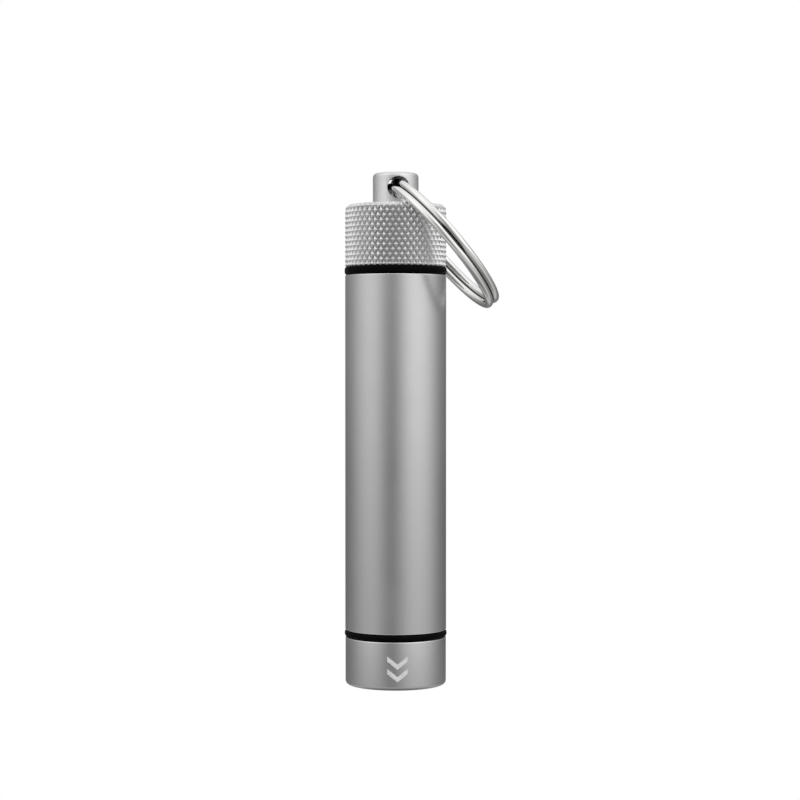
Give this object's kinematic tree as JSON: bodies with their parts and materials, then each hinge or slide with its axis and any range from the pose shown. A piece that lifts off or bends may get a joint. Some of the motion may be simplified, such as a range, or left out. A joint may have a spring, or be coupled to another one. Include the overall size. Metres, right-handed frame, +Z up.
{
  "type": "keychain flashlight",
  "caption": "Slim cylindrical keychain flashlight with a twist-on head, rubber seals, a knurled tail cap with a cross-drilled post, and a split ring.",
  "frame": {"origin": "on the barrel's axis at the bezel's end face, where the light leaves and on which the object stands", "axes": "+Z up the barrel's axis towards the key ring's post; Y along the post's cross hole; the ring hangs over the +X side"},
  "size_m": [0.0214, 0.0222, 0.0708],
  "materials": {
    "satin_aluminium": "bead-blasted, clear anodised, satin grey",
    "knurled_aluminium": "diamond-knurled grip with a bead-blasted post, anodised grey",
    "polished_steel": "nickel-plated and polished",
    "black_rubber": "nitrile rubber, slightly shiny",
    "black_foam": "closed-cell foam",
    "clear_glass": "coated mineral glass",
    "bright_reflector": "vacuum-metallised smooth cup",
    "white_nylon": "moulded nylon",
    "white_ceramic": "glazed LED package",
    "yellow_phosphor": "phosphor-coated die",
    "clear_silicone": "moulded silicone dome",
    "white_board": "white solder mask on an aluminium-core board",
    "green_board": "green solder mask on a fibreglass board",
    "brass": "turned brass",
    "red_lead": "silicone-insulated wire",
    "black_lead": "silicone-insulated wire",
    "black_epoxy": "moulded component body",
    "tan_ceramic": "ceramic chip capacitor",
    "nickel_plate": "nickel-plated steel",
    "cell_label": "plain shrink sleeve, no print",
    "cell_mix": "pressed cathode mix",
    "cell_gel": "zinc gel"
  },
  "bodies": {
    "barrel": {"body_tube": "satin_aluminium", "cell_can": "nickel_plate", "cell_sleeve": "cell_label", "cell_cathode": "cell_mix", "cell_anode": "cell_gel", "cell_collector": "brass", "cell_seal": "white_nylon", "cell_base": "nickel_plate"},
    "head_seal": {"head_seal_ring": "black_rubber"},
    "head": {"head_shell": "satin_aluminium", "lens_gasket": "black_rubber", "lens": "clear_glass", "reflector": "bright_reflector", "led_spacer": "white_nylon", "led_base": "white_ceramic", "led_die": "yellow_phosphor", "led_dome": "clear_silicone", "led_board": "white_board", "pill": "brass", "lead_positive": "red_lead", "lead_negative": "black_lead", "driver_board": "green_board", "driver_chip": "black_epoxy", "driver_inductor": "black_epoxy", "driver_capacitors": "tan_ceramic", "driver_resistor": "black_epoxy", "contact_button": "brass", "board_retainer": "brass", "contact_foam": "black_foam"},
    "tail_seal": {"tail_seal_ring": "black_rubber"},
    "tail": {"tail_cap": "knurled_aluminium", "spring_seat": "nickel_plate", "tail_spring": "nickel_plate"},
    "key_ring": {"split_ring": "polished_steel"}
  },
  "joints": [
    {"name": "head_travel", "type": "slide", "parent": "barrel", "child": "head_seal", "axis": [0, 0, -1], "range_m": [0, 0.00596]},
    {"name": "head_turn", "type": "hinge", "parent": "head_seal", "child": "head", "pos_m": [0, 0, 0], "axis": [0, 0, -1], "range_deg": [0, 3060]},
    {"name": "tail_travel", "type": "slide", "parent": "barrel", "child": "tail_seal", "axis": [0, 0, 1], "range_m": [0, 0.00508]},
    {"name": "tail_turn", "type": "hinge", "parent": "tail_seal", "child": "tail", "pos_m": [0, 0, 0.06], "axis": [0, 0, 1], "range_deg": [0, 2610]},
    {"name": "ring_swing", "type": "hinge", "parent": "tail", "child": "key_ring", "pos_m": [0, 0, 0.06866], "axis": [0, -1, 0], "range_deg": [0, 278.8]}
  ],
  "couplings": [
    {"joint": "head_travel", "follows": "head_turn", "m_per_rad": 0.00011141},
    {"joint": "tail_travel", "follows": "tail_turn", "m_per_rad": 0.00011141}
  ]
}
